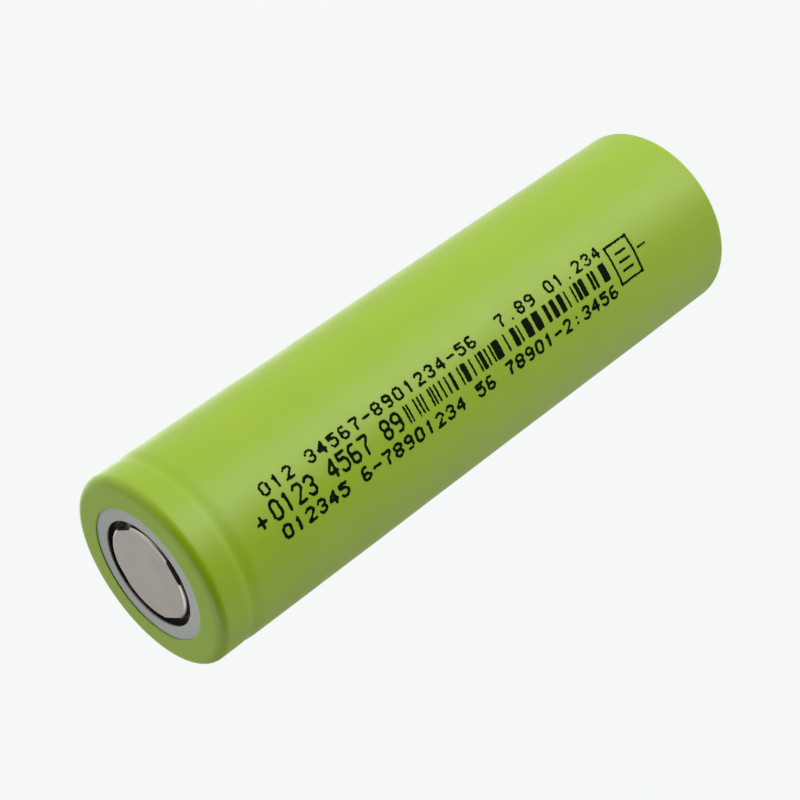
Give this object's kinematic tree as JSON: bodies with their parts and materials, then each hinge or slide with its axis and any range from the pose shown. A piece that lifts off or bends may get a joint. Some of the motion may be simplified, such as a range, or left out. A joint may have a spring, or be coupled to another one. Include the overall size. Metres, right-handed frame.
{
  "type": "cylindrical battery cell",
  "caption": "Upright cylindrical lithium-ion cell in a green shrink sleeve, with a vented flat-top positive cap and a bare steel negative end, modelled with its inner parts.",
  "frame": {"origin": "centre of the negative end's lowest plane, the hem of the sleeve that the cell stands on", "axes": "+Z along the cell's axis to the positive terminal; +X and +Y square to it, with the printed legend facing between -Y and +X"},
  "size_m": [0.0186, 0.0186, 0.0654],
  "materials": {
    "sleeve_film": "satin heat-shrink PVC film",
    "washer_board": "smooth matt, light grey",
    "nickel_steel": "nickel-plated, smooth satin",
    "gasket_plastic": "moulded, matt",
    "ptc_polymer": "carbon-filled, matt",
    "bare_aluminium": "stamped, satin",
    "holder_plastic": "moulded, matt",
    "insulator_board": "pressed fibre-filled sheet, matt",
    "separator_film": "microporous film, matt white",
    "anode_coating": "calendered graphite coating",
    "cathode_coating": "calendered oxide coating",
    "nickel_strip": "rolled nickel strip",
    "aluminium_strip": "rolled aluminium strip",
    "tape_film": "amber adhesive film",
    "closing_tape": "adhesive film",
    "pin_steel": "rolled sheet, satin",
    "print_ink": "dried black marking ink"
  },
  "bodies": {
    "root": {"sleeve": "sleeve_film", "insulating_washer": "washer_board", "can": "nickel_steel", "crimp_gasket": "gasket_plastic", "positive_cap": "nickel_steel", "ptc_ring": "ptc_polymer", "vent_disc": "bare_aluminium", "interrupter_holder": "holder_plastic", "interrupter_plate": "bare_aluminium", "upper_insulator": "insulator_board", "lower_insulator": "insulator_board", "separator_inner": "separator_film", "separator_outer": "separator_film", "anode_sheet": "anode_coating", "cathode_sheet": "cathode_coating", "anode_tab": "nickel_strip", "cathode_tab": "aluminium_strip", "anode_tab_tape": "tape_film", "cathode_tab_tape": "tape_film", "roll_tape": "closing_tape", "center_pin": "pin_steel"}
  },
  "joints": []
}
